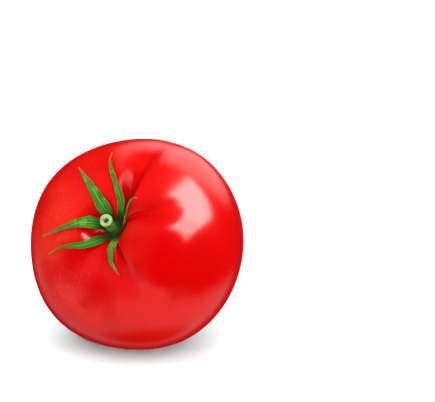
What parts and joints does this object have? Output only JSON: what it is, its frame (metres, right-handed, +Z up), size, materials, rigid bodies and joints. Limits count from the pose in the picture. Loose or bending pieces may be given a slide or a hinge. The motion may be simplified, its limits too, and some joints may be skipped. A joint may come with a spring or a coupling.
{
  "type": "tomato",
  "caption": "Ripe round tomato lying on its side, with a creased stalk hollow, a cut stalk stub and narrow curling sepals.",
  "frame": {"origin": "middle of the small flat spot the tomato rests on, on the floor plane", "axes": "+Z up; the stalk end faces -Y, tipped up and a little towards -X; +X to the right seen from the stalk end"},
  "size_m": [0.0802, 0.0724, 0.0738],
  "materials": {
    "skin": "glossy ripe tomato skin",
    "stalk": "matte green stalk with a pale cut end",
    "sepal": "matte, finely haired green leaf"
  },
  "bodies": {
    "root": {"fruit": "skin", "stem": "stalk", "sepal_high_left": "sepal", "sepal_high": "sepal", "sepal_right": "sepal", "sepal_low": "sepal", "sepal_low_left": "sepal", "sepal_left": "sepal"}
  },
  "joints": []
}
